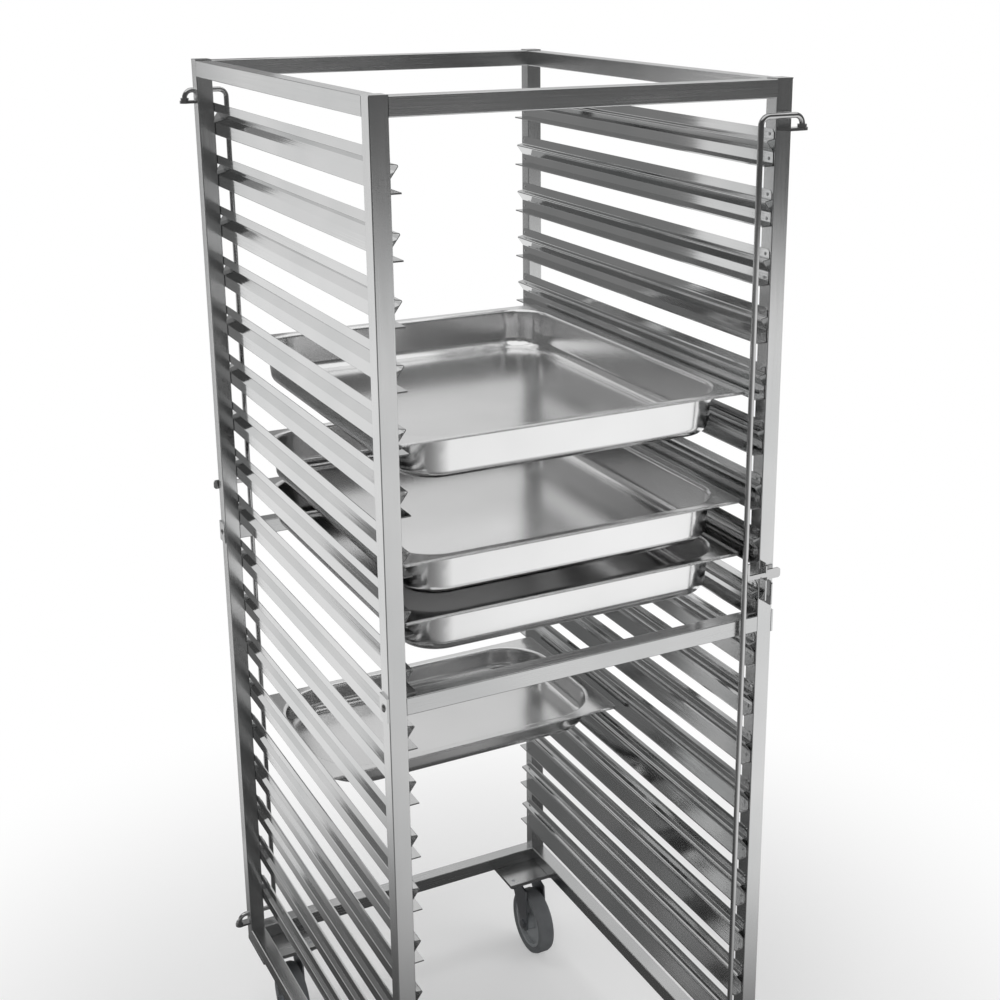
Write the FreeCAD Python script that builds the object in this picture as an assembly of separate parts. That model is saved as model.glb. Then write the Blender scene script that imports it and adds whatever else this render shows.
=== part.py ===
import FreeCAD, Part
import math
import os

os.makedirs("parts", exist_ok=True)

# outside sizes of the frame and the square tube it is made of
WIDTH = 600.0
DEPTH = 750.0
TUBE = 25.0
TUBE_WALL = 1.5
TUBE_CORNER = 1.5

# heights, from the floor up
CASTER_HEIGHT = 160.0
FIRST_RAIL_GAP = 58.0
TOP_GAP = 40.0
LEVELS = 18
PITCH = 81.0

# the middle tubes' place, in pitches below the top runners
BAR_PITCH_SHARE = 9

# section of the sheet runners
RAIL_HEIGHT = 50.0
RAIL_SHEET = 1.0
RAIL_SETBACK = 3.5
RAIL_CORNER = 7.0
RIDGE_ROOT = 13.5
RIDGE_TIP_DROP = 15.3
RIDGE_REACH = 12.7
RIDGE_FOOT = 31.0
LEDGE_REACH = 14.5
LEDGE_HEM = 2.0
BEND = 1.2

# containers
TRAY_SIDE_PLAY = 10.0
TRAY_SHEET = 1.0
TRAY_RIM_SIDE = 19.0
TRAY_RIM_END = 16.0
TRAY_SHOULDER = 6.0
TRAY_RIM_CORNER = 8.0
TRAY_RIM_ROUND = 1.8
TRAY_LIP = 3.4
TRAY_SLOPE = 0.077
TRAY_PLAY = 0.3
LARGE_LENGTH = 650.0
LARGE_DEPTH = 65.0
LARGE_CORNER = 62.0
LARGE_BOTTOM_ROUND = 18.0
LARGE_INSET = 31.0
SMALL_LENGTH = 325.0
SMALL_DEPTH = 40.0
SMALL_CORNER = 84.0
SMALL_BOTTOM_ROUND = 14.0
SMALL_INSET = 382.0
LARGE = (LARGE_LENGTH, LARGE_DEPTH, LARGE_CORNER, LARGE_BOTTOM_ROUND, LARGE_INSET)
SMALL = (SMALL_LENGTH, SMALL_DEPTH, SMALL_CORNER, SMALL_BOTTOM_ROUND, SMALL_INSET)

# the containers' places, in pitches below the top runners
LARGE_PITCH_SHARES = {"tray_a": 4, "tray_b": 6, "tray_c": 7}
SMALL_PITCH_SHARES = {"tray_d": 12}

# retaining rods and their pivots
ROD_DIAMETER = 8.0
ROD_INSET = 29.5
ROD_PROUD = 7.0
PIVOT_OUT = 12.0
PIVOT_RADIUS = 8.0
PIVOT_PLATE = 4.0
PIVOT_ANGLE = 30.0
PIVOT_CLEARANCE = 0.05
ROD_BEND = 12.0
ROD_TOP_DROP = 22.0
ROD_FOOT_RISE = 16.0
ROD_TAIL = 14.0
COLLAR_RADIUS = 6.5
COLLAR_HEIGHT = 4.0
SEAT_GAP = 0.2

# flat handle with its finger tab, and the catch it snaps into
HANDLE_RISE = 66.0
HANDLE_HEIGHT = 7.0
HANDLE_SHEET = 3.0
STRIP_HEIGHT = 18.0
STRIP_WIDTH = 3.5
TAB_START = 8.5
TAB_LENGTH = 23.0
TAB_HEIGHT = 15.0
TAB_ROUND = 4.5
CATCH_SHEET = 2.0
CATCH_PROUD = 15.0
CATCH_INSET = 1.5
CATCH_GAP = 8.5
CATCH_UPPER = 14.5
CATCH_SLOT = 11.0
CATCH_LOWER = 33.5
CATCH_TONGUE = 7.5
CATCH_ROUND = 4.0

# plates, bolts and caps on the posts
JOIN_HEIGHT = 34.0
JOIN_SHEET = 3.0
BOLT_HEAD = 6.0
BOLT_HEAD_RISE = 3.0
BOLT_SHANK = 3.0
CAP_SHEET = 1.5
CAP_PLUG = 8.0

# casters
CORNER_X = 105.0
CORNER_Y = 90.0
CORNER_SHEET = 6.0
CASTER_X = 100.0
CASTER_Y = 85.0
CASTER_SHEET = 3.0
HOLE_X = 80.0
HOLE_Y = 60.0
HOLE_RADIUS = 4.2
CASTER_BOLT = 4.0
CASTER_BOLT_HEAD = 13.0
CASTER_BOLT_RISE = 5.5
RACE_RADIUS = 31.0
RACE_HEIGHT = 5.0
KINGPIN = 6.0
KINGPIN_HEAD = 11.0
KINGPIN_RISE = 5.0
FORK_SHEET = 3.0
FORK_RADIUS = 29.0
TRAIL = 36.0
WHEEL_RADIUS = 62.5
TYRE_WIDTH = 32.0
TYRE_ROUND = 7.0
TYRE_DEEP = 13.0
HUB_WIDTH = 36.0
HUB_BOSS = 15.0
HUB_RIM = 6.0
HUB_WEB = 8.0
AXLE_RADIUS = 5.0
AXLE_HEAD = 8.0
AXLE_HEAD_RISE = 5.0
LEG_ROUND = 15.0
LEG_TOP = 19.0
RUNNING = 0.05
SIDE_GAP = 0.3

# brake pedals
PEDAL_Y = 26.0
PEDAL_Z = 69.0
PEDAL_PIN = 3.0
PEDAL_KNUCKLE = 6.0
PEDAL_WIDTH = 34.0
PEDAL_SHEET = 3.0
PEDAL_FLAT = 38.0
PEDAL_TIP = 16.0
PEDAL_FALL = 6.0
PEDAL_ANGLE = 20.0
PEDAL_TOUCH = 0.4
PEDAL_LUG = 7.0
LUG_ANGLE = 30.0

# cutters run past a face by this much
OVERRUN = 1.0

# heights and places that follow from the sizes above
half_width = WIDTH / 2
half_depth = DEPTH / 2
inner_x = half_width - TUBE
inner_y = half_depth - TUBE
frame_bottom = CASTER_HEIGHT
lowest_rail = frame_bottom + TUBE + FIRST_RAIL_GAP
top_rail_top = lowest_rail + RAIL_HEIGHT + PITCH * (LEVELS - 1)
top_bar = top_rail_top + TOP_GAP
frame_top = top_bar + TUBE


def rail_top(pitches):
    return top_rail_top - PITCH * pitches


bar_gap = (PITCH - RAIL_HEIGHT - TUBE) / 2
mid_bar = rail_top(BAR_PITCH_SHARE) + bar_gap
handle_z = mid_bar + TUBE + HANDLE_RISE
rod_x = inner_x - ROD_INSET
rod_y = half_depth + ROD_PROUD
pivot_x = half_width + PIVOT_OUT


# the four corners, front ones first
CORNERS = [(x, y) for y in (-1, 1) for x in (-1, 1)]


# small shape builders
def box(x0, x1, y0, y1, z0, z1):
    return Part.makeBox(x1 - x0, y1 - y0, z1 - z0, FreeCAD.Vector(x0, y0, z0))


def rod(radius, start, axis, length):
    return Part.makeCylinder(radius, length, FreeCAD.Vector(*start), FreeCAD.Vector(*axis))


def joined(shapes):
    solid = shapes[0]
    for shape in shapes[1:]:
        solid = solid.fuse(shape)
    return solid.removeSplitter()


def shifted(shape, x, y, z):
    moved = shape.copy()
    moved.translate(FreeCAD.Vector(x, y, z))
    return moved


def half_turned(shape):
    turned = shape.copy()
    turned.rotate(FreeCAD.Vector(0, 0, 0), FreeCAD.Vector(0, 0, 1), 180)
    return turned


def mirrored(shape, x, y):
    flipped = shape
    if x < 0:
        flipped = flipped.mirror(FreeCAD.Vector(0, 0, 0), FreeCAD.Vector(1, 0, 0))
    if y < 0:
        flipped = flipped.mirror(FreeCAD.Vector(0, 0, 0), FreeCAD.Vector(0, 1, 0))
    return flipped


def corner_cut(before, corner, after, radius):
    back = (before - corner).normalize()
    ahead = (after - corner).normalize()
    half = math.acos(max(-1.0, min(1.0, back.dot(ahead)))) / 2
    reach = radius / math.tan(half)
    middle = (back + ahead).normalize()
    arc_point = corner + middle * (radius / math.sin(half) - radius)
    return corner + back * reach, arc_point, corner + ahead * reach


def rounded_wire(points, radii):
    edges = []
    count = len(points)
    ends = []
    for index in range(count):
        corner = points[index]
        if radii[index] > 0:
            start, arc_point, stop = corner_cut(points[index - 1], corner, points[(index + 1) % count], radii[index])
            edges.append(Part.Arc(start, arc_point, stop).toShape())
            ends.append((start, stop))
        else:
            ends.append((corner, corner))
    for index in range(count):
        start = ends[index][1]
        stop = ends[(index + 1) % count][0]
        edges.append(Part.makeLine(start, stop))
    return Part.Wire(Part.__sortEdges__(edges))


def side_points(path, sheet):
    shifted_path = []
    count = len(path)
    for index in range(count):
        normals = []
        for first, second in ((index - 1, index), (index, index + 1)):
            if first < 0 or second >= count:
                continue
            run_x = path[second][0] - path[first][0]
            run_y = path[second][1] - path[first][1]
            length = math.hypot(run_x, run_y)
            normals.append((-run_y / length, run_x / length))
        sum_x = sum(normal[0] for normal in normals)
        sum_y = sum(normal[1] for normal in normals)
        scale = len(normals) / (sum_x * sum_x + sum_y * sum_y)
        shifted_path.append((path[index][0] + sum_x * scale * sheet, path[index][1] + sum_y * scale * sheet))
    return shifted_path


def turn_side(path, index):
    ax = path[index][0] - path[index - 1][0]
    ay = path[index][1] - path[index - 1][1]
    bx = path[index + 1][0] - path[index][0]
    by = path[index + 1][1] - path[index][1]
    return 1 if ax * by - ay * bx > 0 else -1


def sheet_strip(path, bends, sheet):
    other = side_points(path, sheet)
    inner_radii = []
    outer_radii = []
    for index in range(len(path)):
        radius = bends[index]
        if radius <= 0:
            inner_radii.append(0)
            outer_radii.append(0)
        elif turn_side(path, index) > 0:
            inner_radii.append(radius + sheet)
            outer_radii.append(radius)
        else:
            inner_radii.append(radius)
            outer_radii.append(radius + sheet)
    return list(path) + other[::-1], inner_radii + outer_radii[::-1]


def square_tube(length):
    section = []
    for size, corner in ((TUBE, TUBE_CORNER), (TUBE - 2 * TUBE_WALL, 0)):
        half = size / 2
        corners = [(-half, -half), (half, -half), (half, half), (-half, half)]
        points = [FreeCAD.Vector(x, y, 0) for x, y in corners]
        section.append(Part.Face(rounded_wire(points, [corner] * 4)))
    wall = section[0].cut(section[1])
    return wall.extrude(FreeCAD.Vector(0, 0, length))


def tube_along_x(length, y, z):
    tube = square_tube(length)
    tube.rotate(FreeCAD.Vector(0, 0, 0), FreeCAD.Vector(0, 1, 0), 90)
    return shifted(tube, -length / 2, y, z)


def tube_along_y(length, x, z):
    tube = square_tube(length)
    tube.rotate(FreeCAD.Vector(0, 0, 0), FreeCAD.Vector(1, 0, 0), -90)
    return shifted(tube, x, -length / 2, z)


# upright tubes
def post(side_x, side_y):
    tube = square_tube(frame_top - frame_bottom)
    return shifted(tube, side_x * (inner_x + TUBE / 2), side_y * (inner_y + TUBE / 2), frame_bottom)


# tubes across the width, one at the front and one at the back
def cross_bars(bottom):
    centre = inner_y + TUBE / 2
    level = bottom + TUBE / 2
    return [tube_along_x(2 * inner_x, -centre, level), tube_along_x(2 * inner_x, centre, level)]


# tubes along the depth, one on each side
def side_bars(bottom):
    centre = inner_x + TUBE / 2
    level = bottom + TUBE / 2
    return [tube_along_y(2 * inner_y, -centre, level), tube_along_y(2 * inner_y, centre, level)]


# one pair of ribbed runners, whose ridge guides a rim and whose ledge carries it
def rail_pair(pitches):
    path = [
        (LEDGE_REACH, LEDGE_HEM - RAIL_HEIGHT),
        (RAIL_SHEET, LEDGE_HEM - RAIL_HEIGHT),
        (RAIL_SHEET, -RIDGE_FOOT),
        (RIDGE_REACH, -RIDGE_TIP_DROP),
        (RAIL_SHEET, -RIDGE_ROOT),
        (RAIL_SHEET, 0),
    ]
    bends = [0, 0, BEND, BEND, BEND, 0]
    ends, radii = sheet_strip(path, bends, RAIL_SHEET)
    outline = ends[:len(path) + len(path) - 2] + [(0, -RAIL_HEIGHT), (LEDGE_REACH, -RAIL_HEIGHT)]
    radii = radii[:len(path) + len(path) - 2] + [BEND, 0]
    length = DEPTH - 2 * RAIL_SETBACK
    points = [FreeCAD.Vector(inner_x - x, -length / 2, rail_top(pitches) + z) for x, z in outline]
    runner = Part.Face(rounded_wire(points, radii)).extrude(FreeCAD.Vector(0, length, 0))
    corners = []
    for edge in runner.Edges:
        middle = edge.CenterOfMass
        at_end = abs(abs(middle.y) - length / 2) < RAIL_SHEET / 2
        at_top = abs(middle.z - rail_top(pitches)) < RAIL_SHEET / 2
        if at_end and at_top:
            corners.append(edge)
    runner = runner.makeFillet(RAIL_CORNER, corners)
    return [runner, mirrored(runner, -1, 1)]


# a tapered tub with rounded corners, built from cones and slanted blocks
def tub(half_x, half_y, corner, depth):
    taper = depth * TRAY_SLOPE
    low_x = half_x - taper
    low_y = half_y - taper
    blocks = []
    run = half_y - corner
    points = [(-half_x, -run, 0), (half_x, -run, 0), (low_x, -run, -depth), (-low_x, -run, -depth)]
    face = Part.Face(Part.makePolygon([FreeCAD.Vector(*p) for p in points + points[:1]]))
    blocks.append(face.extrude(FreeCAD.Vector(0, 2 * run, 0)))
    run = half_x - corner
    points = [(-run, -half_y, 0), (-run, half_y, 0), (-run, low_y, -depth), (-run, -low_y, -depth)]
    face = Part.Face(Part.makePolygon([FreeCAD.Vector(*p) for p in points + points[:1]]))
    blocks.append(face.extrude(FreeCAD.Vector(2 * run, 0, 0)))
    for x, y in CORNERS:
        centre = FreeCAD.Vector(x * (half_x - corner), y * (half_y - corner), -depth)
        blocks.append(Part.makeCone(corner - taper, corner, depth, centre, FreeCAD.Vector(0, 0, 1)))
    return joined(blocks)


# rounds the edges that lie at one height, those inside a given half width and half length or those past them
def rounded_at(shape, height, half_x, half_y, radius, outside=False):
    edges = []
    for edge in shape.Edges:
        bounds = edge.BoundBox
        flat = abs(bounds.ZMax - height) < TRAY_PLAY and abs(bounds.ZMin - height) < TRAY_PLAY
        inside = max(bounds.XMax, -bounds.XMin) < half_x and max(bounds.YMax, -bounds.YMin) < half_y
        if flat and inside != outside:
            edges.append(edge)
    return shape.makeFillet(radius, edges)


# a flat slab with round corners
def slab(half_x, half_y, low, high, corner):
    block = box(-half_x, half_x, -half_y, half_y, low, high)
    uprights = [edge for edge in block.Edges if edge.BoundBox.ZMax - edge.BoundBox.ZMin > (high - low) / 2]
    return block.makeFillet(corner, uprights)


# a container with a flat rim, a turned-down lip, a round shoulder, tapered walls and round corners
def tray(pitches, size):
    length, depth, corner, bottom_round, inset = size
    half_x = inner_x - TRAY_SIDE_PLAY
    half_y = length / 2
    in_x = half_x - TRAY_RIM_SIDE
    in_y = half_y - TRAY_RIM_END
    edge_x = half_x - TRAY_SHEET
    edge_y = half_y - TRAY_SHEET
    outer = joined([tub(in_x, in_y, corner, depth), slab(half_x, half_y, -TRAY_SHEET, 0, TRAY_RIM_CORNER)])
    outer = rounded_at(outer, -TRAY_SHEET, edge_x, edge_y, TRAY_SHOULDER - TRAY_SHEET)
    outer = rounded_at(outer, -depth, edge_x, edge_y, bottom_round + TRAY_SHEET)
    hollow = tub(in_x - TRAY_SHEET, in_y - TRAY_SHEET, corner - TRAY_SHEET, depth - TRAY_SHEET)
    hollow = joined([hollow, box(-half_x, half_x, -half_y, half_y, 0, OVERRUN)])
    hollow = rounded_at(hollow, 0, edge_x, edge_y, TRAY_SHOULDER)
    hollow = rounded_at(hollow, TRAY_SHEET - depth, edge_x, edge_y, bottom_round)
    lip = slab(half_x, half_y, -TRAY_LIP, -TRAY_SHEET, TRAY_RIM_CORNER)
    lip = lip.cut(slab(edge_x, edge_y, -TRAY_LIP, -TRAY_SHEET, TRAY_RIM_CORNER - TRAY_SHEET))
    body = joined([outer.cut(hollow), lip])
    body = rounded_at(body, 0, edge_x, edge_y, TRAY_RIM_ROUND, outside=True)
    ledge = rail_top(pitches) - RAIL_HEIGHT + LEDGE_HEM
    return shifted(body, 0, -half_depth + inset + half_y, ledge + TRAY_PLAY + TRAY_LIP)


# the bent round bar that keeps the containers in
def retaining_rod(back):
    radius = ROD_DIAMETER / 2
    upper = top_bar - ROD_TOP_DROP
    lower = frame_bottom + TUBE + ROD_FOOT_RISE
    tail = PIVOT_PLATE + ROD_TAIL
    points = [
        FreeCAD.Vector(pivot_x, -rod_y, upper - tail),
        FreeCAD.Vector(pivot_x, -rod_y, upper),
        FreeCAD.Vector(rod_x, -rod_y, upper),
        FreeCAD.Vector(rod_x, -rod_y, lower),
        FreeCAD.Vector(pivot_x, -rod_y, lower),
        FreeCAD.Vector(pivot_x, -rod_y, lower - tail),
    ]
    edges = []
    start = points[0]
    for index in range(1, len(points) - 1):
        first, arc_point, last = corner_cut(points[index - 1], points[index], points[index + 1], ROD_BEND)
        if (first - start).Length > SEAT_GAP:
            edges.append(Part.makeLine(start, first))
        edges.append(Part.Arc(first, arc_point, last).toShape())
        start = last
    edges.append(Part.makeLine(start, points[-1]))
    spine = Part.Wire(edges)
    circle = Part.Wire([Part.makeCircle(radius, points[0], FreeCAD.Vector(0, 0, 1))])
    bar = spine.makePipeShell([circle], True, True)
    shapes = [bar]
    for level in (upper, lower):
        seat = pivot_level(level) + PIVOT_PLATE + SEAT_GAP
        shapes.append(rod(COLLAR_RADIUS, (pivot_x, -rod_y, seat), (0, 0, 1), COLLAR_HEIGHT))
    bar = joined(shapes)
    return half_turned(bar) if back else bar


def pivot_level(arm):
    return arm - ROD_BEND - COLLAR_HEIGHT - SEAT_GAP - PIVOT_PLATE


# eye plates on the posts that the rods turn in
def pivots():
    plates = []
    bevel = math.radians(PIVOT_ANGLE)
    for arm in (top_bar - ROD_TOP_DROP, frame_bottom + TUBE + ROD_FOOT_RISE):
        level = pivot_level(arm)
        height = level + PIVOT_PLATE
        eye = rod(PIVOT_RADIUS, (pivot_x, -rod_y, level), (0, 0, 1), PIVOT_PLATE)
        corners = [
            (inner_x + TUBE_WALL, -half_depth),
            (half_width - TUBE_WALL, -half_depth),
            (pivot_x + PIVOT_RADIUS * math.sin(bevel), -rod_y + PIVOT_RADIUS * math.cos(bevel)),
            (pivot_x, -rod_y - PIVOT_RADIUS),
            (inner_x + TUBE / 2, -rod_y - PIVOT_RADIUS),
        ]
        points = [FreeCAD.Vector(x, y, level) for x, y in corners]
        web = Part.Face(Part.makePolygon(points + points[:1])).extrude(FreeCAD.Vector(0, 0, height - level))
        plate = joined([eye, web])
        bore = rod(ROD_DIAMETER / 2 + PIVOT_CLEARANCE, (pivot_x, -rod_y, level - OVERRUN), (0, 0, 1),
                   PIVOT_PLATE + 2 * OVERRUN)
        plate = plate.cut(bore)
        plates += [plate, half_turned(plate)]
    return plates


# flat handle welded to the rod, ending in a wider finger tab
def handle(back):
    front = -rod_y - HANDLE_SHEET / 2
    rear = -rod_y + HANDLE_SHEET / 2
    start = rod_x + ROD_DIAMETER / 2
    tab_x = inner_x + TAB_START
    low = handle_z - HANDLE_HEIGHT / 2
    bar = box(start, tab_x + OVERRUN, front, rear, low, low + HANDLE_HEIGHT)
    strip = box(start, start + STRIP_WIDTH, front, rear, low, low + HANDLE_HEIGHT + STRIP_HEIGHT)
    half = TAB_HEIGHT / 2
    corners = [(tab_x, -half), (tab_x + TAB_LENGTH, -half), (tab_x + TAB_LENGTH, half), (tab_x, half)]
    points = [FreeCAD.Vector(x, front, handle_z + z) for x, z in corners]
    tab = Part.Face(rounded_wire(points, [0, TAB_ROUND, TAB_ROUND, 0])).extrude(FreeCAD.Vector(0, HANDLE_SHEET, 0))
    piece = joined([bar, strip, tab])
    return half_turned(piece) if back else piece


# folded catch: a cheek with a slot, a base on the post and a lower tongue
def catch():
    first = inner_x + CATCH_INSET
    second = first + CATCH_SHEET + CATCH_GAP
    front = -half_depth - CATCH_PROUD
    slot_low = handle_z - CATCH_SLOT / 2
    slot_high = handle_z + CATCH_SLOT / 2
    bottom = slot_low - CATCH_LOWER
    top = slot_high + CATCH_UPPER
    shapes = []
    tongue_top = handle_z - TAB_HEIGHT / 2 - CATCH_SHEET
    for x, z0, z1 in ((first, bottom, top), (second, bottom - CATCH_TONGUE, tongue_top)):
        corners = [(front, z0), (-half_depth, z0), (-half_depth, z1), (front, z1)]
        points = [FreeCAD.Vector(x, y, z) for y, z in corners]
        cheek = Part.Face(rounded_wire(points, [CATCH_ROUND, 0, 0, CATCH_ROUND]))
        shapes.append(cheek.extrude(FreeCAD.Vector(CATCH_SHEET, 0, 0)))
    base_front = -half_depth - CATCH_SHEET
    shapes.append(box(first, second + CATCH_SHEET, base_front, -half_depth, bottom, slot_low))
    body = joined(shapes)
    back_of_slot = -rod_y + HANDLE_SHEET / 2 + SEAT_GAP
    slot = box(first - OVERRUN, first + CATCH_SHEET + OVERRUN, front - OVERRUN, back_of_slot, slot_low, slot_high)
    return body.cut(slot)


def catches():
    front = catch()
    return [front, half_turned(front)]


# plates on the posts' sides where the middle tubes meet them
def connection_plates():
    level = mid_bar + TUBE / 2 - JOIN_HEIGHT / 2
    shapes = []
    for side in (-1, 1):
        for end in (-1, 1):
            plate = box(half_width, half_width + JOIN_SHEET, inner_y, half_depth, level, level + JOIN_HEIGHT)
            bore = rod(BOLT_SHANK, bolt_start(), (1, 0, 0), BOLT_SHANK + JOIN_SHEET + OVERRUN)
            shapes.append(mirrored(plate.cut(bore), side, end))
    return shapes


def bolt_start():
    return (half_width - BOLT_SHANK, inner_y + TUBE / 2, mid_bar + TUBE / 2)


# round-headed bolts through those plates
def frame_bolts():
    x, y, z = bolt_start()
    face = half_width + JOIN_SHEET
    sphere = (BOLT_HEAD * BOLT_HEAD / BOLT_HEAD_RISE + BOLT_HEAD_RISE) / 2
    ball = Part.makeSphere(sphere, FreeCAD.Vector(face + BOLT_HEAD_RISE - sphere, y, z))
    head = ball.common(box(face, face + 2 * BOLT_HEAD, y - sphere, y + sphere, z - sphere, z + sphere))
    shank = rod(BOLT_SHANK, (half_width, y, z), (1, 0, 0), JOIN_SHEET)
    bolt = joined([head, shank])
    return [mirrored(bolt, side, end) for side in (-1, 1) for end in (-1, 1)]


# caps that close the posts
def post_caps():
    half = TUBE / 2
    plug = half - TUBE_WALL
    cap = joined([box(-half, half, -half, half, frame_top, frame_top + CAP_SHEET),
                  box(-plug, plug, -plug, plug, frame_top - CAP_PLUG, frame_top)])
    caps = []
    for side in (-1, 1):
        for end in (-1, 1):
            caps.append(shifted(cap, side * (inner_x + half), end * (inner_y + half), 0))
    return caps


# places of the casters' swivel axes
swivel_x = half_width - CORNER_X / 2
swivel_y = half_depth - CORNER_Y / 2
plate_top = frame_bottom - CORNER_SHEET
plate_low = plate_top - CASTER_SHEET
race_low = plate_low - RACE_HEIGHT
fork_top = race_low - SIDE_GAP
fork_low = fork_top - FORK_SHEET


def bolt_spots():
    return [(x * HOLE_X / 2, y * HOLE_Y / 2) for x in (-1, 1) for y in (-1, 1)]


def drilled(plate, low, high, radius):
    for x, y in bolt_spots():
        plate = plate.cut(rod(radius, (x, y, low - OVERRUN), (0, 0, 1), high - low + 2 * OVERRUN))
    return plate


# plates welded below the frame's corners
def corner_plates():
    half_x = CORNER_X / 2
    half_y = CORNER_Y / 2
    plate = box(-half_x, half_x, -half_y, half_y, plate_top, frame_bottom)
    plate = drilled(plate, plate_top, frame_bottom, CASTER_BOLT)
    return [shifted(plate, x * swivel_x, y * swivel_y, 0) for x, y in CORNERS]


# the casters' fixed plates, each with its race and kingpin
def caster_plates():
    half_x = CASTER_X / 2
    half_y = CASTER_Y / 2
    plate = drilled(box(-half_x, half_x, -half_y, half_y, plate_low, plate_top), plate_low, plate_top, HOLE_RADIUS)
    race = rod(RACE_RADIUS, (0, 0, race_low), (0, 0, 1), RACE_HEIGHT)
    head_top = fork_low - SIDE_GAP
    pin = rod(KINGPIN, (0, 0, head_top), (0, 0, 1), race_low - head_top)
    head = rod(KINGPIN_HEAD, (0, 0, head_top - KINGPIN_RISE), (0, 0, 1), KINGPIN_RISE)
    piece = joined([plate, race, pin, head])
    return [shifted(piece, x * swivel_x, y * swivel_y, 0) for x, y in CORNERS]


# a hexagonal head, set along an axis
def hexagon(across, start, axis, rise):
    radius = across / 2 / math.cos(math.pi / 6)
    points = []
    for step in range(7):
        angle = math.pi / 3 * step
        points.append(FreeCAD.Vector(radius * math.cos(angle), radius * math.sin(angle), 0))
    prism = Part.Face(Part.makePolygon(points)).extrude(FreeCAD.Vector(0, 0, rise))
    turn = FreeCAD.Rotation(FreeCAD.Vector(0, 0, 1), FreeCAD.Vector(*axis))
    prism.Placement = FreeCAD.Placement(FreeCAD.Vector(*start), turn)
    return prism


# hexagon bolts that hold the casters
def caster_bolts():
    shapes = []
    for x, y in CORNERS:
        for bolt_x, bolt_y in bolt_spots():
            centre_x = x * swivel_x + bolt_x
            centre_y = y * swivel_y + bolt_y
            low = plate_low - CASTER_BOLT_RISE
            head = hexagon(CASTER_BOLT_HEAD, (centre_x, centre_y, low), (0, 0, 1), CASTER_BOLT_RISE)
            shank = rod(CASTER_BOLT, (centre_x, centre_y, plate_low), (0, 0, 1), frame_bottom - plate_low)
            shapes.append(joined([head, shank]))
    return shapes


leg_inner = HUB_WIDTH / 2 + SIDE_GAP
leg_outer = leg_inner + FORK_SHEET
pedal_y = TRAIL + PEDAL_Y
pedal_z = WHEEL_RADIUS + PEDAL_Z


# swivelling fork with its axle, trailing towards plus Y before it is placed
def fork_pieces(braked):
    disc = rod(FORK_RADIUS, (0, 0, fork_low), (0, 0, 1), FORK_SHEET)
    shapes = [disc]
    outline = [
        (-LEG_TOP, fork_low),
        (-LEG_TOP, fork_low - 2 * FORK_SHEET),
        (TRAIL - LEG_ROUND, WHEEL_RADIUS),
        (TRAIL + LEG_ROUND, WHEEL_RADIUS),
        (TRAIL + LEG_ROUND / 2, fork_low - 2 * FORK_SHEET),
        (LEG_TOP, fork_low),
    ]
    for x in (-leg_outer, leg_inner):
        points = [FreeCAD.Vector(x, y, z) for y, z in outline]
        leg = Part.Face(Part.makePolygon(points + points[:1])).extrude(FreeCAD.Vector(FORK_SHEET, 0, 0))
        parts = [leg, rod(LEG_ROUND, (x, TRAIL, WHEEL_RADIUS), (1, 0, 0), FORK_SHEET)]
        if braked:
            parts.append(pedal_lug(x))
        leg = joined(parts)
        top = box(x, x + FORK_SHEET, -LEG_TOP, LEG_TOP, fork_low, fork_top)
        shapes += [leg, top.common(disc)]
    body = joined(shapes)
    body = body.cut(rod(KINGPIN + RUNNING, (0, 0, fork_low - OVERRUN), (0, 0, 1), FORK_SHEET + 2 * OVERRUN))
    reach = leg_outer + OVERRUN
    body = body.cut(rod(AXLE_RADIUS, (-reach, TRAIL, WHEEL_RADIUS), (1, 0, 0), 2 * reach))
    if braked:
        body = body.cut(rod(PEDAL_PIN + RUNNING, (-reach, pedal_y, pedal_z), (1, 0, 0), 2 * reach))
    axle = rod(AXLE_RADIUS, (-leg_outer, TRAIL, WHEEL_RADIUS), (1, 0, 0), 2 * leg_outer)
    heads = []
    for side in (-1, 1):
        heads.append(hexagon(2 * AXLE_HEAD, (side * leg_outer, TRAIL, WHEEL_RADIUS), (side, 0, 0), AXLE_HEAD_RISE))
    return [body, joined([axle] + heads)]


# lug on a braked fork's leg that carries the pedal's pin
def pedal_lug(x):
    slant = math.radians(LUG_ANGLE)
    corners = [
        (TRAIL - LEG_ROUND, fork_low - 2 * FORK_SHEET),
        (LEG_TOP, fork_low),
        (pedal_y, pedal_z + PEDAL_LUG),
        (pedal_y + PEDAL_LUG * math.sin(slant), pedal_z - PEDAL_LUG * math.cos(slant)),
        (TRAIL + LEG_ROUND / 2, WHEEL_RADIUS + LEG_ROUND),
    ]
    points = [FreeCAD.Vector(x, y, z) for y, z in corners]
    web = Part.Face(Part.makePolygon(points + points[:1])).extrude(FreeCAD.Vector(FORK_SHEET, 0, 0))
    return joined([web, rod(PEDAL_LUG, (x, pedal_y, pedal_z), (1, 0, 0), FORK_SHEET)])


# wheel centre with its boss, web and rim
def wheel_hub():
    half = HUB_WIDTH / 2
    rim = WHEEL_RADIUS - TYRE_DEEP
    web = HUB_WEB / 2
    rim_half = TYRE_WIDTH / 2 - TYRE_ROUND / 2
    outline = [
        (AXLE_RADIUS + RUNNING, -half),
        (HUB_BOSS, -half),
        (HUB_BOSS, -web),
        (rim - HUB_RIM, -web),
        (rim - HUB_RIM, -rim_half),
        (rim, -rim_half),
        (rim, rim_half),
        (rim - HUB_RIM, rim_half),
        (rim - HUB_RIM, web),
        (HUB_BOSS, web),
        (HUB_BOSS, half),
        (AXLE_RADIUS + RUNNING, half),
    ]
    points = [FreeCAD.Vector(x, TRAIL, WHEEL_RADIUS + r) for r, x in outline]
    face = Part.Face(Part.makePolygon(points + points[:1]))
    return face.revolve(FreeCAD.Vector(0, TRAIL, WHEEL_RADIUS), FreeCAD.Vector(1, 0, 0), 360)


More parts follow.
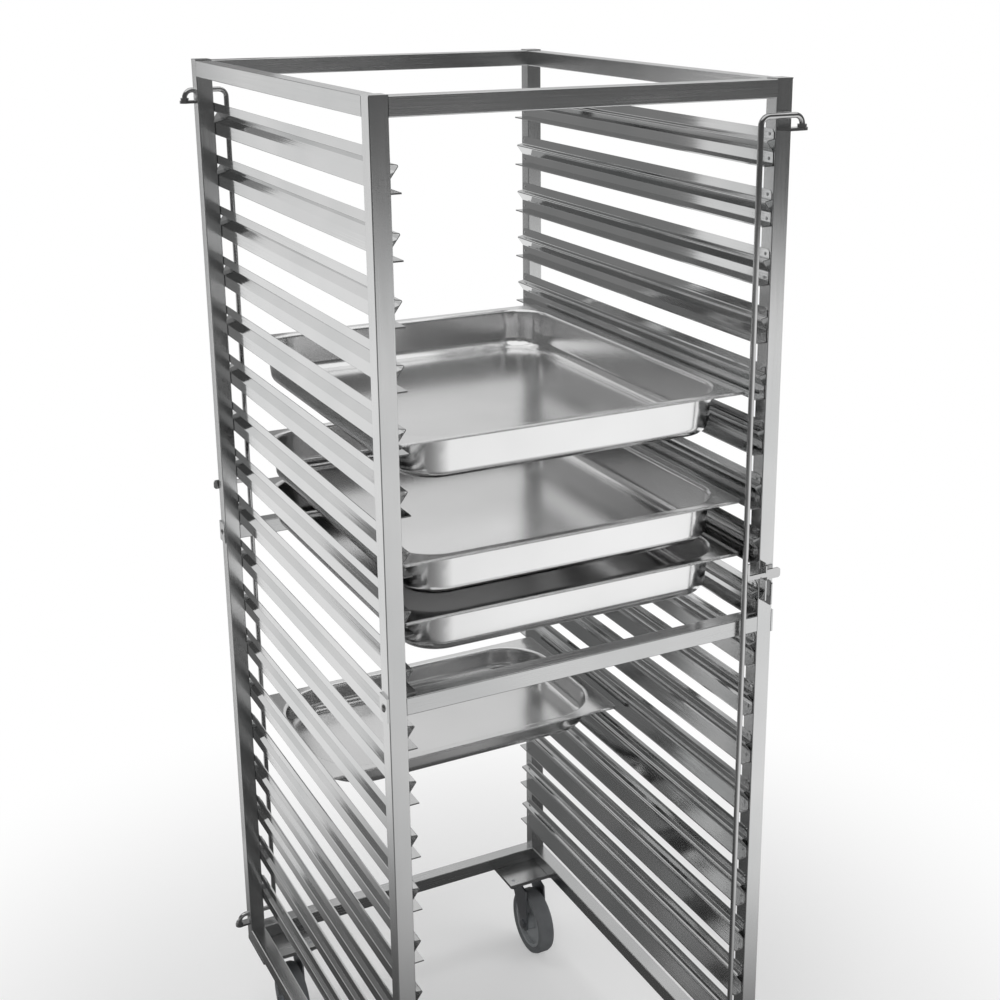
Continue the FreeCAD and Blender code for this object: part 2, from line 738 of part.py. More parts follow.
# tyre whose round tread is a few cone bands
def wheel_tyre():
    half = TYRE_WIDTH / 2
    rim = WHEEL_RADIUS - TYRE_DEEP
    slant = TYRE_ROUND * (1 - math.sqrt(2) / 2)
    right = [
        (rim, half - TYRE_ROUND / 2),
        (rim + TYRE_ROUND / 2, half),
        (WHEEL_RADIUS - TYRE_ROUND, half),
        (WHEEL_RADIUS - slant, half - slant),
        (WHEEL_RADIUS, half - TYRE_ROUND),
    ]
    outline = right + [(r, -x) for r, x in reversed(right)]
    points = [FreeCAD.Vector(x, TRAIL, WHEEL_RADIUS + r) for r, x in outline]
    face = Part.Face(Part.makePolygon(points + points[:1]))
    return face.revolve(FreeCAD.Vector(0, TRAIL, WHEEL_RADIUS), FreeCAD.Vector(1, 0, 0), 360)


# pedal with its pin, knuckle and the toe that swings onto the tyre
def brake_pedal():
    span = 2 * leg_outer
    pin = rod(PEDAL_PIN, (-leg_outer, pedal_y, pedal_z), (1, 0, 0), span)
    half = PEDAL_WIDTH / 2
    knuckle = rod(PEDAL_KNUCKLE, (-half, pedal_y, pedal_z), (1, 0, 0), PEDAL_WIDTH)
    path = [
        (pedal_y, pedal_z + PEDAL_KNUCKLE - PEDAL_SHEET),
        (pedal_y + PEDAL_FLAT, pedal_z - PEDAL_FALL),
        (pedal_y + PEDAL_FLAT + PEDAL_TIP, pedal_z - PEDAL_FALL - PEDAL_TIP),
    ]
    outline, radii = sheet_strip(path, [0, PEDAL_SHEET, 0], PEDAL_SHEET)
    points = [FreeCAD.Vector(-half, y, z) for y, z in outline]
    plate = Part.Face(rounded_wire(points, radii)).extrude(FreeCAD.Vector(PEDAL_WIDTH, 0, 0))
    gap = math.hypot(PEDAL_Y, PEDAL_Z) - WHEEL_RADIUS
    toe_length = gap - PEDAL_TOUCH
    down = math.atan2(-PEDAL_Z, -PEDAL_Y) + math.radians(PEDAL_ANGLE)
    tip_y = pedal_y + toe_length * math.cos(down)
    tip_z = pedal_z + toe_length * math.sin(down)
    side_y = -math.sin(down) * PEDAL_PIN
    side_z = math.cos(down) * PEDAL_PIN
    corners = [(pedal_y + side_y, pedal_z + side_z), (tip_y + side_y / 3, tip_z + side_z / 3),
               (tip_y - side_y / 3, tip_z - side_z / 3), (pedal_y - side_y, pedal_z - side_z)]
    half_toe = TYRE_WIDTH / 2 - TYRE_ROUND
    points = [FreeCAD.Vector(-half_toe, y, z) for y, z in corners]
    toe = Part.Face(Part.makePolygon(points + points[:1])).extrude(FreeCAD.Vector(2 * half_toe, 0, 0))
    return joined([pin, knuckle, plate, toe])


# puts a caster piece at its corner, trailing towards the middle of the depth
def at_corner(shape, x, y):
    turned = half_turned(shape) if y > 0 else shape
    return shifted(turned, x * swivel_x, y * swivel_y, 0)


# every piece by name
pieces = {
    "post_front_left": [post(-1, -1)],
    "post_front_right": [post(1, -1)],
    "post_rear_left": [post(-1, 1)],
    "post_rear_right": [post(1, 1)],
    "top_cross_bars": cross_bars(top_bar),
    "top_side_bars": side_bars(top_bar),
    "mid_cross_bars": cross_bars(mid_bar),
    "bottom_cross_bars": cross_bars(frame_bottom),
    "bottom_side_bars": side_bars(frame_bottom),
    "rod_front": [retaining_rod(False)],
    "rod_rear": [retaining_rod(True)],
    "handle_front": [handle(False)],
    "handle_rear": [handle(True)],
    "rod_pivots": pivots(),
    "latch_catches": catches(),
    "connection_plates": connection_plates(),
    "frame_bolts": frame_bolts(),
    "post_caps": post_caps(),
    "corner_plates": corner_plates(),
    "caster_plates": caster_plates(),
    "caster_bolts": caster_bolts(),
}
for pitches in range(LEVELS):
    pieces["rails_%02d" % (pitches + 1)] = rail_pair(pitches)
for size, places in ((LARGE, LARGE_PITCH_SHARES), (SMALL, SMALL_PITCH_SHARES)):
    for name, pitches in places.items():
        pieces[name] = [tray(pitches, size)]
for number, (x, y) in enumerate(CORNERS, 1):
    braked = y < 0
    pieces["caster_fork_%d" % number] = [at_corner(shape, x, y) for shape in fork_pieces(braked)]
    pieces["hub_%d" % number] = [at_corner(wheel_hub(), x, y)]
    pieces["tyre_%d" % number] = [at_corner(wheel_tyre(), x, y)]
    if braked:
        pieces["brake_pedal_%d" % number] = [at_corner(brake_pedal(), x, y)]

for name, shapes in pieces.items():
    shape = shapes[0] if len(shapes) == 1 else Part.makeCompound(shapes)
    shape.exportStep("parts/%s.step" % name)
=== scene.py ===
import math

import bmesh
import bpy
from mathutils import Matrix, Vector


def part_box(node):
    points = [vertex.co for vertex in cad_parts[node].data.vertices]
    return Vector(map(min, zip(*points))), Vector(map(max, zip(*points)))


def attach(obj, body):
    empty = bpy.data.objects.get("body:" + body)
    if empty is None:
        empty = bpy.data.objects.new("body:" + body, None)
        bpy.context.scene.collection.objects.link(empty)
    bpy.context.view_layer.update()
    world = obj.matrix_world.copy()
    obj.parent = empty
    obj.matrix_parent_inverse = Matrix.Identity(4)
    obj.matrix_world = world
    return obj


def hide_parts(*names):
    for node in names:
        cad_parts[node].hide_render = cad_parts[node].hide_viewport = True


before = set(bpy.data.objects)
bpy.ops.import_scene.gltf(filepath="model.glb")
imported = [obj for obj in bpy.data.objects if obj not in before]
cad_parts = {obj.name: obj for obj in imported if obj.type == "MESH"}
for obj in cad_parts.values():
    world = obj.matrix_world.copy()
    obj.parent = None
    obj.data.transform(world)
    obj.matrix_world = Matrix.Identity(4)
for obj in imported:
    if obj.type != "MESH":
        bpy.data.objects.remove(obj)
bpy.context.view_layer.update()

# Upright and cross tubes of the frame, with their caps and plates.
# Square stainless tube, 25 mm, brushed along its length and welded at the corners. The brushing gives it a
# soft grey sheen that runs evenly along each tube.
MILLIMETRE = 0.001
MERGE_DISTANCE = 0.002 * MILLIMETRE
SMOOTH_ANGLE = math.radians(32)
FLAT_FACE_WEIGHT = 100
ACROSS = 0
DEPTH = 1
UP = 2
MIX_FIRST = 6
MIX_SECOND = 7
MIX_RESULT = 2
NOISE_SPAN = {"From Min": 0.3, "From Max": 0.7}
GRIT_ROUGHNESS = 0.55
CLOUD_WIDTH = 1000.0 / 6 * MILLIMETRE
SOFT_EDGE_SAMPLES = 6
END_FACING = 0.95
CUT_GREY = "7C7C7C"
CUT_ROUGHNESS = 0.5


def linear(code):
    channels = [int(code[i:i + 2], 16) / 255 for i in (0, 2, 4)]
    return [c / 12.92 if c <= 0.04045 else ((c + 0.055) / 1.055) ** 2.4 for c in channels] + [1.0]


def add(tree, kind, links=None, **settings):
    made = tree.nodes.new(kind)
    for name, value in settings.items():
        setattr(made, name, value)
    for name, value in (links or {}).items():
        if isinstance(value, bpy.types.NodeSocket):
            tree.links.new(value, made.inputs[name])
        else:
            made.inputs[name].default_value = value
    return made


def start_material(name):
    material = bpy.data.materials.new(name)
    material.use_nodes = True
    tree = material.node_tree
    tree.nodes.clear()
    return material, tree


# Stainless and zinc-plated steel, clouded six times to the metre. Fine lines run along one axis, or speckle
# where along is None, and they are drawn coarser than real ones so that they show. Sizes are in millimetres.
# cut is the axis whose end faces were sheared and stay dull, and drawn is how round drawn edges look.
def steel_finish(name, dark, light, roughness, along=None, grain=0.9, streak=140.0, spread=0.03, relief=0.01,
                 cut=None, drawn=None):
    material, tree = start_material(name)
    coordinates = add(tree, "ShaderNodeTexCoord")
    place = coordinates.outputs["Object"]
    fine = 1 / (grain * MILLIMETRE)
    scale = [fine, fine, fine]
    if along is not None:
        scale[along] = 1 / (streak * MILLIMETRE)
    lines = add(tree, "ShaderNodeMapping", {"Vector": place, "Scale": scale})
    grit = add(tree, "ShaderNodeTexNoise", {
        "Vector": lines.outputs["Vector"], "Scale": 1.0, "Detail": 2.0, "Roughness": GRIT_ROUGHNESS})
    cloud = add(tree, "ShaderNodeTexNoise", {"Vector": place, "Scale": 1 / CLOUD_WIDTH, "Detail": 2.0})
    grit_share = add(tree, "ShaderNodeMapRange", {"Value": grit.outputs["Fac"], "To Min": -1.0, **NOISE_SPAN})
    cloud_share = add(tree, "ShaderNodeMapRange", {"Value": cloud.outputs["Fac"], **NOISE_SPAN})
    tone = add(tree, "ShaderNodeMix", {
        0: cloud_share.outputs["Result"], MIX_FIRST: linear(dark), MIX_SECOND: linear(light)},
        data_type="RGBA")
    colour = tone.outputs[MIX_RESULT]
    wander = add(tree, "ShaderNodeMath", {0: grit_share.outputs["Result"], 1: spread, 2: roughness},
                 operation="MULTIPLY_ADD")
    drift = add(tree, "ShaderNodeMath", {
        0: cloud_share.outputs["Result"], 1: spread / 2, 2: wander.outputs[0]}, operation="MULTIPLY_ADD")
    rough = drift.outputs[0]
    bump = add(tree, "ShaderNodeBump", {
        "Height": grit.outputs["Fac"], "Strength": relief, "Distance": MILLIMETRE})
    if drawn is not None:
        soft = add(tree, "ShaderNodeBevel", {"Radius": drawn * MILLIMETRE}, samples=SOFT_EDGE_SAMPLES)
        tree.links.new(soft.outputs["Normal"], bump.inputs["Normal"])
    if cut is not None:
        normal = add(tree, "ShaderNodeSeparateXYZ", {0: coordinates.outputs["Normal"]})
        facing = add(tree, "ShaderNodeMath", {0: normal.outputs[cut]}, operation="ABSOLUTE")
        sheared = add(tree, "ShaderNodeMath", {0: facing.outputs[0], 1: END_FACING}, operation="GREATER_THAN")
        dull = add(tree, "ShaderNodeMapRange", {
            "Value": sheared.outputs[0], "To Min": rough, "To Max": CUT_ROUGHNESS})
        rough = dull.outputs["Result"]
        greyed = add(tree, "ShaderNodeMix", {
            0: sheared.outputs[0], MIX_FIRST: colour, MIX_SECOND: linear(CUT_GREY)}, data_type="RGBA")
        colour = greyed.outputs[MIX_RESULT]
    surface = add(tree, "ShaderNodeBsdfPrincipled", {
        "Base Color": colour, "Metallic": 1.0, "Roughness": rough, "Normal": bump.outputs["Normal"]})
    add(tree, "ShaderNodeOutputMaterial", {"Surface": surface.outputs[0]})
    return material


def shown(name, mesh):
    made = bpy.data.objects.new(name, mesh)
    bpy.context.collection.objects.link(made)
    return made


def finished_mesh(holder):
    graph = bpy.context.evaluated_depsgraph_get()
    mesh = bpy.data.meshes.new_from_object(holder.evaluated_get(graph))
    bpy.data.objects.remove(holder)
    return mesh


# Each piece is a merged copy of its solid, so that round bends shade smoothly and flat faces stay flat.
def dressed(name, body, material):
    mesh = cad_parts[name].data.copy()
    shape = bmesh.new()
    shape.from_mesh(mesh)
    bmesh.ops.remove_doubles(shape, verts=shape.verts, dist=MERGE_DISTANCE)
    for face in shape.faces:
        face.smooth = True
    for edge in shape.edges:
        edge.smooth = len(edge.link_faces) == 2 and edge.calc_face_angle(0.0) < SMOOTH_ANGLE
    shape.to_mesh(mesh)
    shape.free()
    mesh.materials.clear()
    mesh.materials.append(material)
    holder = shown(name + "_holder", mesh)
    flatten = holder.modifiers.new("large_faces_stay_flat", "WEIGHTED_NORMAL")
    flatten.keep_sharp = True
    flatten.weight = FLAT_FACE_WEIGHT
    piece = shown(name + "_look", finished_mesh(holder))
    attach(piece, body)
    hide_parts(name)


upright_steel = steel_finish("brushed_stainless_upright", "CACBCB", "D6D6D6", roughness=0.2, along=UP)
across_steel = steel_finish("brushed_stainless_across", "C6C7C7", "D2D2D2", roughness=0.24, along=ACROSS)
depth_steel = steel_finish("brushed_stainless_depth", "CACBCB", "D6D6D6", roughness=0.22, along=DEPTH)
for name in ("post_front_left", "post_front_right", "post_rear_left", "post_rear_right", "post_caps",
             "connection_plates"):
    dressed(name, "frame", upright_steel)
for name in ("top_cross_bars", "mid_cross_bars", "bottom_cross_bars", "corner_plates"):
    dressed(name, "frame", across_steel)
for name in ("top_side_bars", "bottom_side_bars"):
    dressed(name, "frame", depth_steel)

# Ribbed runners on both sides, one pair for each level.
# Stainless sheet, 1 mm, rolled to shape and sheared at its ends. It reflects more sharply than the tubes, has
# faint lines that the rolls left along it, and its cut ends are dull.
LEVELS = 18
runner_steel = steel_finish("rolled_stainless_sheet", "C8C9C9", "D3D3D3", roughness=0.07, along=DEPTH,
                            grain=2.2, streak=900.0, spread=0.02, relief=0.07, cut=DEPTH)
for level in range(1, LEVELS + 1):
    dressed("rails_%02d" % level, "frame", runner_steel)

# Small round-headed screws that hold the runners to the posts.
# Turned stainless steel, a little darker and duller than the sheet. They sit on its inner face in the middle
# of each post, two at each end of a runner, and are repeated down the posts at the runners' pitch.
SCREW_DROPS = (7.0 * MILLIMETRE, 40.0 * MILLIMETRE)
SCREW_RADIUS = 2.6 * MILLIMETRE
SCREW_FLATNESS = 0.42
SCREW_SEGMENTS = 18
SCREW_RINGS = 10
RUNNER_SHEET = 1.0 * MILLIMETRE
screw_steel = steel_finish("turned_stainless_screw", "BDBEBF", "CFCFCF", roughness=0.22, grain=2.0)


def input_socket(group, name, kind, value):
    socket = group.interface.new_socket(name=name, in_out="INPUT", socket_type=kind)
    socket.default_value = value
    return socket


def screw_group():
    group = bpy.data.node_groups.new("runner_screws", "GeometryNodeTree")
    group.interface.new_socket(name="Geometry", in_out="INPUT", socket_type="NodeSocketGeometry")
    inputs = {
        "Levels": input_socket(group, "Levels", "NodeSocketInt", 1),
        "Pitch": input_socket(group, "Pitch", "NodeSocketFloat", 0.1),
        "Radius": input_socket(group, "Radius", "NodeSocketFloat", 0.003),
        "Flatness": input_socket(group, "Flatness", "NodeSocketFloat", 0.4),
    }
    group.interface.new_socket(name="Geometry", in_out="OUTPUT", socket_type="NodeSocketGeometry")
    start = add(group, "NodeGroupInput")
    drop = add(group, "ShaderNodeMath", {0: start.outputs["Pitch"], 1: -1.0}, operation="MULTIPLY")
    step = add(group, "ShaderNodeCombineXYZ", {"Z": drop.outputs[0]})
    column = add(group, "GeometryNodeMeshLine", {
        "Count": start.outputs["Levels"], "Offset": step.outputs[0]}, mode="OFFSET")
    rows = add(group, "GeometryNodeInstanceOnPoints", {
        "Points": column.outputs["Mesh"], "Instance": start.outputs["Geometry"]})
    spots = add(group, "GeometryNodeRealizeInstances", {"Geometry": rows.outputs["Instances"]})
    ball = add(group, "GeometryNodeMeshUVSphere", {
        "Segments": SCREW_SEGMENTS, "Rings": SCREW_RINGS, "Radius": start.outputs["Radius"]})
    squash = add(group, "ShaderNodeCombineXYZ", {"X": start.outputs["Flatness"], "Y": 1.0, "Z": 1.0})
    head = add(group, "GeometryNodeTransform", {
        "Geometry": ball.outputs["Mesh"], "Scale": squash.outputs[0]})
    smooth = add(group, "GeometryNodeSetShadeSmooth", {0: head.outputs[0]})
    screws = add(group, "GeometryNodeInstanceOnPoints", {
        "Points": spots.outputs["Geometry"], "Instance": smooth.outputs[0]})
    solid = add(group, "GeometryNodeRealizeInstances", {"Geometry": screws.outputs["Instances"]})
    coat = add(group, "GeometryNodeSetMaterial", {
        "Geometry": solid.outputs["Geometry"], "Material": screw_steel})
    add(group, "NodeGroupOutput", {"Geometry": coat.outputs["Geometry"]})
    return group, inputs


def runner_screws():
    post_low, post_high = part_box("post_front_right")
    screw_x = post_low.x - RUNNER_SHEET
    screw_y = abs(post_low.y + post_high.y) / 2
    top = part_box("rails_01")[1].z
    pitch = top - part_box("rails_02")[1].z
    points = [(x, y, top - drop) for x in (-screw_x, screw_x) for y in (-screw_y, screw_y)
              for drop in SCREW_DROPS]
    seeds = bpy.data.meshes.new("screw_places")
    seeds.from_pydata(points, [], [])
    holder = shown("screw_places", seeds)
    group, inputs = screw_group()
    modifier = holder.modifiers.new("runner_screws", "NODES")
    modifier.node_group = group
    values = {"Levels": LEVELS, "Pitch": pitch, "Radius": SCREW_RADIUS, "Flatness": SCREW_FLATNESS}
    for name, value in values.items():
        modifier[inputs[name].identifier] = value
    piece = shown("runner_screws", finished_mesh(holder))
    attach(piece, "frame")


runner_screws()

# Food containers.
# Stainless sheet, deep-drawn in one piece and polished, so it is a slightly cloudy mirror inside and out
# whose drawn edges turn softly. They lie loose on the runners.
tray_steel = steel_finish("drawn_stainless_polished", "E9E9E9", "F1F1F1", roughness=0.18, grain=5.0,
                          spread=0.015, relief=0.004, drawn=3.5)
for name in ("tray_a", "tray_b", "tray_c", "tray_d"):
    dressed(name, name, tray_steel)

# Retaining rods with their handles, and the catches, pivots and bolts on the posts.
# Drawn stainless rod and cut plate, polished bright, so reflections in them are sharp. The rods turn in the
# pivots, and the handles drop into the catches.
polished_steel = steel_finish("polished_stainless", "BEBEBE", "CDCDCD", roughness=0.12, along=UP,
                              spread=0.02, relief=0.004)
for end in ("front", "rear"):
    dressed("rod_" + end, end + "_rod", polished_steel)
    dressed("handle_" + end, end + "_rod", polished_steel)
for name in ("latch_catches", "rod_pivots", "frame_bolts"):
    dressed(name, "frame", polished_steel)

# Casters: pressed forks, fixed plates, bolts and pedals.
# Zinc-plated steel, bolted under the frame's corners. The plating is cooler and duller than the stainless
# frame, and faintly clouded.
zinc_steel = steel_finish("zinc_plated_steel", "A9ACB0", "BFC1C4", roughness=0.34, grain=4.0, spread=0.06)
for name in ("caster_plates", "caster_bolts"):
    dressed(name, "frame", zinc_steel)
for number in (1, 2, 3, 4):
    dressed("caster_fork_%d" % number, "swivel_%d" % number, zinc_steel)
for number in (1, 2):
    dressed("brake_pedal_%d" % number, "pedal_%d" % number, zinc_steel)

# Wheels.
# Moulded polyamide centres with grey rubber tyres round them. The plastic is satin and the rubber matt, and
# their grain is drawn coarser than the real one so that it shows.
MOTTLE_WIDTH = 1000.0 / 22 * MILLIMETRE
ROUGHNESS_SWING = 0.06


# Moulded plastic or rubber, mottled 22 times to the metre. Its grain is in millimetres.
def moulded(name, dark, light, roughness, grain, relief):
    material, tree = start_material(name)
    place = add(tree, "ShaderNodeTexCoord").outputs["Object"]
    texture = add(tree, "ShaderNodeTexNoise", {
        "Vector": place, "Scale": 1 / (grain * MILLIMETRE), "Detail": 3.0})
    mottle = add(tree, "ShaderNodeTexNoise", {"Vector": place, "Scale": 1 / MOTTLE_WIDTH, "Detail": 3.0})
    mottle_share = add(tree, "ShaderNodeMapRange", {"Value": mottle.outputs["Fac"], **NOISE_SPAN})
    tone = add(tree, "ShaderNodeMix", {
        0: mottle_share.outputs["Result"], MIX_FIRST: linear(dark), MIX_SECOND: linear(light)},
        data_type="RGBA")
    rough = add(tree, "ShaderNodeMapRange", {
        "Value": texture.outputs["Fac"], "To Min": roughness - ROUGHNESS_SWING,
        "To Max": roughness + ROUGHNESS_SWING, **NOISE_SPAN})
    bump = add(tree, "ShaderNodeBump", {
        "Height": texture.outputs["Fac"], "Strength": relief, "Distance": MILLIMETRE})
    surface = add(tree, "ShaderNodeBsdfPrincipled", {
        "Base Color": tone.outputs[MIX_RESULT], "Roughness": rough.outputs["Result"],
        "Normal": bump.outputs["Normal"]})
    add(tree, "ShaderNodeOutputMaterial", {"Surface": surface.outputs[0]})
    return material


hub_plastic = moulded("moulded_polyamide", "8C8F91", "9A9D9F", roughness=0.5, grain=1.2, relief=0.15)
tyre_rubber = moulded("grey_tyre_rubber", "5F6163", "6F7173", roughness=0.72, grain=1.6, relief=0.3)
for number in (1, 2, 3, 4):
    dressed("hub_%d" % number, "wheel_%d" % number, hub_plastic)
    dressed("tyre_%d" % number, "wheel_%d" % number, tyre_rubber)

# Studio floor.
# Pale paper that runs out of sight. It glows white away from the object and keeps the shadow close to it.
# Metal sees it with a painted shadow under the object and painted shade towards the front left.
FLOOR_HALF = 60.0
SHADOW_START = 0.55
SHADOW_END = 1.5
NEAR_GLOW = 0.3
# Painted shadow and painted shade: how bright metal sees the floor under the object and towards the front
# left
NEAR_PAINTED_SHADOW = 0.08
PAINTED_SHADE_SIDE = (-0.88, -0.47, 0.0)
PAINTED_SHADE_REFLECTED = 0.2
WHITE = linear("FFFFFF")
PAPER = linear("F0F0F0")


def flat_card(name, corners, material):
    mesh = bpy.data.meshes.new(name)
    mesh.from_pydata(corners, [], [tuple(range(len(corners)))])
    mesh.materials.append(material)
    made = shown(name, mesh)
    return made


# How far a place lies towards one side, from -1 to 1
def towards(tree, place, side):
    unit = add(tree, "ShaderNodeVectorMath", {0: place}, operation="NORMALIZE")
    facing = add(tree, "ShaderNodeVectorMath", {0: unit.outputs["Vector"], 1: side}, operation="DOT_PRODUCT")
    return facing.outputs["Value"]


def floor_paper():
    material, tree = start_material("white_floor")
    place = add(tree, "ShaderNodeTexCoord").outputs["Object"]
    rays = add(tree, "ShaderNodeLightPath")
    distance = add(tree, "ShaderNodeVectorMath", {0: place}, operation="LENGTH")
    away = add(tree, "ShaderNodeMapRange", {
        "Value": distance.outputs["Value"], "From Min": SHADOW_START, "From Max": SHADOW_END},
        interpolation_type="SMOOTHSTEP")
    glow_share = add(tree, "ShaderNodeMapRange", {"Value": away.outputs["Result"], "To Min": NEAR_GLOW})
    seen_share = add(tree, "ShaderNodeMath", {
        0: glow_share.outputs["Result"], 1: rays.outputs["Is Camera Ray"]}, operation="MULTIPLY")
    matte = add(tree, "ShaderNodeBsdfDiffuse", {"Color": PAPER})
    glow = add(tree, "ShaderNodeEmission", {"Color": WHITE, "Strength": 1.0})
    paper = add(tree, "ShaderNodeMixShader", {
        0: seen_share.outputs[0], 1: matte.outputs[0], 2: glow.outputs[0]})
    # Painted shade: in reflections the floor is dimmed towards the front left and darkened under the object
    # as a painted shadow
    painted_shade_share = add(tree, "ShaderNodeMapRange", {
        "Value": towards(tree, place, PAINTED_SHADE_SIDE), "To Min": 1.0, "To Max": PAINTED_SHADE_REFLECTED},
        interpolation_type="SMOOTHSTEP")
    reflected = add(tree, "ShaderNodeMapRange", {
        "Value": away.outputs["Result"], "To Min": NEAR_PAINTED_SHADOW, "To Max": painted_shade_share.outputs["Result"]})
    painted_floor_reflection = add(tree, "ShaderNodeEmission", {"Color": WHITE, "Strength": reflected.outputs["Result"]})
    both = add(tree, "ShaderNodeMixShader", {
        0: rays.outputs["Is Glossy Ray"], 1: paper.outputs[0], 2: painted_floor_reflection.outputs[0]})
    add(tree, "ShaderNodeOutputMaterial", {"Surface": both.outputs[0]})
    return material


flat_card("floor", [(-FLOOR_HALF, -FLOOR_HALF, 0), (FLOOR_HALF, -FLOOR_HALF, 0),
                    (FLOOR_HALF, FLOOR_HALF, 0), (-FLOOR_HALF, FLOOR_HALF, 0)], floor_paper())

# Grey card close behind the object, and a soft box far behind it.
# Only metal sees them. The card darkens the insides of the right runners and of the containers. The soft box,
# with a tongue that hangs lower than the rest, lights the slanted faces of the left runners.
CARD_STRENGTH = 0.26
CARD_LEFT = -0.47
CARD_RIGHT = 0.02
CARD_BACK = 0.95
CARD_TOP = 2.4
BOX_STRENGTH = 0.9
BOX_RIGHT = (-0.44, 4.98)
TONGUE_RIGHT = (-1.2, 4.58)
TONGUE_MIDDLE = (-2.3, 4.01)
TONGUE_LEFT = (-2.9, 3.7)
BOX_LEFT = (-3.83, 3.21)
BOX_TOP = 6.5
BOX_FOOT_LEFT = 2.7
BOX_FOOT_RIGHT = 2.45
TONGUE_SHOULDER = 1.9
TONGUE_FOOT = 0.7


def glowing(name, strength):
    material, tree = start_material(name)
    light = add(tree, "ShaderNodeEmission", {"Color": WHITE, "Strength": strength})
    add(tree, "ShaderNodeOutputMaterial", {"Surface": light.outputs[0]})
    return material


def reflected_only(made):
    made.visible_camera = False
    made.visible_diffuse = False
    made.visible_shadow = False


card = [(CARD_LEFT, CARD_BACK, 0.0), (CARD_RIGHT, CARD_BACK, 0.0), (CARD_RIGHT, CARD_BACK, CARD_TOP),
        (CARD_LEFT, CARD_BACK, CARD_TOP)]
reflected_only(flat_card("card_behind", card, glowing("grey_card", CARD_STRENGTH)))
soft_box = [(*BOX_RIGHT, BOX_FOOT_RIGHT), (*TONGUE_RIGHT, BOX_FOOT_RIGHT), (*TONGUE_RIGHT, TONGUE_FOOT),
            (*TONGUE_LEFT, TONGUE_FOOT), (*TONGUE_LEFT, TONGUE_SHOULDER), (*TONGUE_MIDDLE, TONGUE_SHOULDER),
            (*TONGUE_MIDDLE, BOX_FOOT_LEFT), (*BOX_LEFT, BOX_FOOT_LEFT), (*BOX_LEFT, BOX_TOP),
            (*BOX_RIGHT, BOX_TOP)]
reflected_only(flat_card("rear_soft_box", soft_box, glowing("soft_box", BOX_STRENGTH)))

# Studio wall.
# A ring of grey wall round the object, brightest at the rear right, that only metal sees. It gives the
# containers' floors and the tubes their slow change from light to dark.
WALL_RADIUS = 6.0
WALL_LOW = 0.5
WALL_TOP = 7.0
WALL_SIDES = 64
LEVEL_ONLY = (1.0, 1.0, 0.0)
BRIGHT_SIDE = (0.477, 0.879, 0.0)
DIM_FACING = -0.4
TURN_FACING = 0.5
BRIGHT_FACING = 0.95
DIM_WALL = 0.1
TURN_WALL = 0.2
BRIGHT_WALL = 0.66


def wall_paint():
    material, tree = start_material("grey_studio_wall")
    place = add(tree, "ShaderNodeTexCoord").outputs["Object"]
    flat = add(tree, "ShaderNodeVectorMath", {0: place, 1: LEVEL_ONLY}, operation="MULTIPLY")
    facing = towards(tree, flat.outputs["Vector"], BRIGHT_SIDE)
    dim_side = add(tree, "ShaderNodeMapRange", {
        "Value": facing, "From Min": DIM_FACING, "From Max": TURN_FACING, "To Min": DIM_WALL,
        "To Max": TURN_WALL})
    bright_side = add(tree, "ShaderNodeMapRange", {
        "Value": facing, "From Min": TURN_FACING, "From Max": BRIGHT_FACING, "To Min": TURN_WALL,
        "To Max": BRIGHT_WALL})
    turned = add(tree, "ShaderNodeMath", {0: facing, 1: TURN_FACING}, operation="GREATER_THAN")
    shade = add(tree, "ShaderNodeMix", {
        "Factor": turned.outputs[0], "A": dim_side.outputs["Result"], "B": bright_side.outputs["Result"]},
        data_type="FLOAT")
    paint = add(tree, "ShaderNodeEmission", {"Color": WHITE, "Strength": shade.outputs["Result"]})
    add(tree, "ShaderNodeOutputMaterial", {"Surface": paint.outputs[0]})
    return material


def studio_wall():
    edges = []
    panels = []
    for side in range(WALL_SIDES):
        angle = 2 * math.pi * side / WALL_SIDES
        after = (side + 1) % WALL_SIDES
        for z in (WALL_LOW, WALL_TOP):
            edges.append((WALL_RADIUS * math.cos(angle), WALL_RADIUS * math.sin(angle), z))
        panels.append((2 * side, 2 * after, 2 * after + 1, 2 * side + 1))
    mesh = bpy.data.meshes.new("studio_wall")
    mesh.from_pydata(edges, [], panels)
    mesh.materials.append(wall_paint())
    wall = shown("studio_wall", mesh)
    reflected_only(wall)


studio_wall()

# Studio sky and lamps.
# The sky is white where the camera or metal sees it, and half as strong as a light. Three soft lamps give the
# object its shape, and metal doesn't see them.
SKY_LIGHT = 0.5
SKY_SEEN = 1.0
OBJECT_MIDDLE = (0, 0, 0.9)
ABOVE_MIDDLE = (0, 0, 1.0)


def studio_sky():
    world = bpy.data.worlds.new("studio")
    bpy.context.scene.world = world
    world.use_nodes = True
    tree = world.node_tree
    tree.nodes.clear()
    rays = add(tree, "ShaderNodeLightPath")
    seen = rays.outputs["Is Camera Ray"]
    for kind in ("Is Glossy Ray", "Is Transmission Ray"):
        either = add(tree, "ShaderNodeMath", {0: seen, 1: rays.outputs[kind]}, operation="MAXIMUM")
        seen = either.outputs[0]
    strength = add(tree, "ShaderNodeMapRange", {"Value": seen, "To Min": SKY_LIGHT, "To Max": SKY_SEEN})
    sky = add(tree, "ShaderNodeBackground", {"Color": WHITE, "Strength": strength.outputs["Result"]})
    add(tree, "ShaderNodeOutputWorld", {"Surface": sky.outputs[0]})


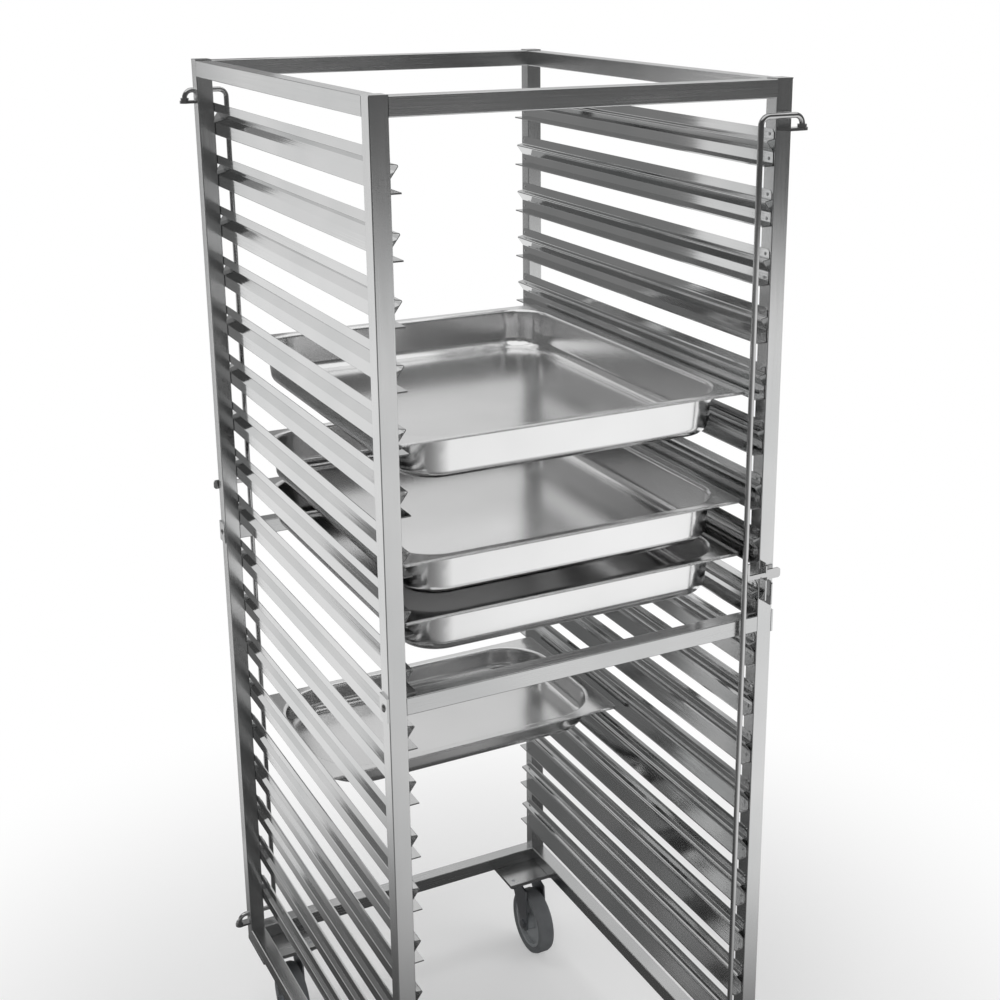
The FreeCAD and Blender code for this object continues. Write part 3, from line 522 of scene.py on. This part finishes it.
def lamp(name, place, target, width, height, power):
    data = bpy.data.lights.new(name, "AREA")
    data.shape = "RECTANGLE"
    data.size = width
    data.size_y = height
    data.energy = power
    made = bpy.data.objects.new(name, data)
    made.location = place
    aim = Vector(target) - Vector(place)
    made.rotation_euler = aim.to_track_quat("-Z", "Y").to_euler()
    made.visible_glossy = False
    bpy.context.collection.objects.link(made)


studio_sky()
lamp("key", place=(-2.6, -3.2, 3.4), target=OBJECT_MIDDLE, width=2.2, height=1.6, power=70)
lamp("fill", place=(3.4, -2.4, 2.6), target=OBJECT_MIDDLE, width=2.0, height=2.0, power=25)
lamp("top", place=(0.0, 0.4, 4.2), target=ABOVE_MIDDLE, width=2.4, height=2.4, power=40)

# Camera at the photograph's place, found from its vanishing points.
# The photograph is off centre, so the lens is shifted a little. The focal length and the centre are shares of
# the photograph's width.
CAMERA_PLACE = (-0.9578, -2.0698, 1.8898)
AZIMUTH = math.radians(-28.45)
ELEVATION = math.radians(16.33)
ROLL = math.radians(0.07)
FOCAL_SHARE = 1.5481
CENTRE_SHARES = (0.5675, 0.4099)
SENSOR_WIDTH = 36.0
VIEW_END = 100.0
camera_data = bpy.data.cameras.new("camera")
camera_data.sensor_width = SENSOR_WIDTH
camera_data.lens = FOCAL_SHARE * SENSOR_WIDTH
camera_data.shift_x = 0.5 - CENTRE_SHARES[0]
camera_data.shift_y = CENTRE_SHARES[1] - 0.5
camera_data.clip_end = VIEW_END
camera = bpy.data.objects.new("camera", camera_data)
back = Vector((math.sin(AZIMUTH) * math.cos(ELEVATION), -math.cos(AZIMUTH) * math.cos(ELEVATION),
               math.sin(ELEVATION)))
right = Vector((math.cos(AZIMUTH), math.sin(AZIMUTH), 0.0))
up = back.cross(right)
turn = Matrix((right, up, back)).transposed() @ Matrix.Rotation(ROLL, 3, "Z")
camera.matrix_world = Matrix.Translation(CAMERA_PLACE) @ turn.to_4x4()
bpy.context.collection.objects.link(camera)
bpy.context.scene.camera = camera
bpy.context.scene.view_settings.view_transform = "Standard"
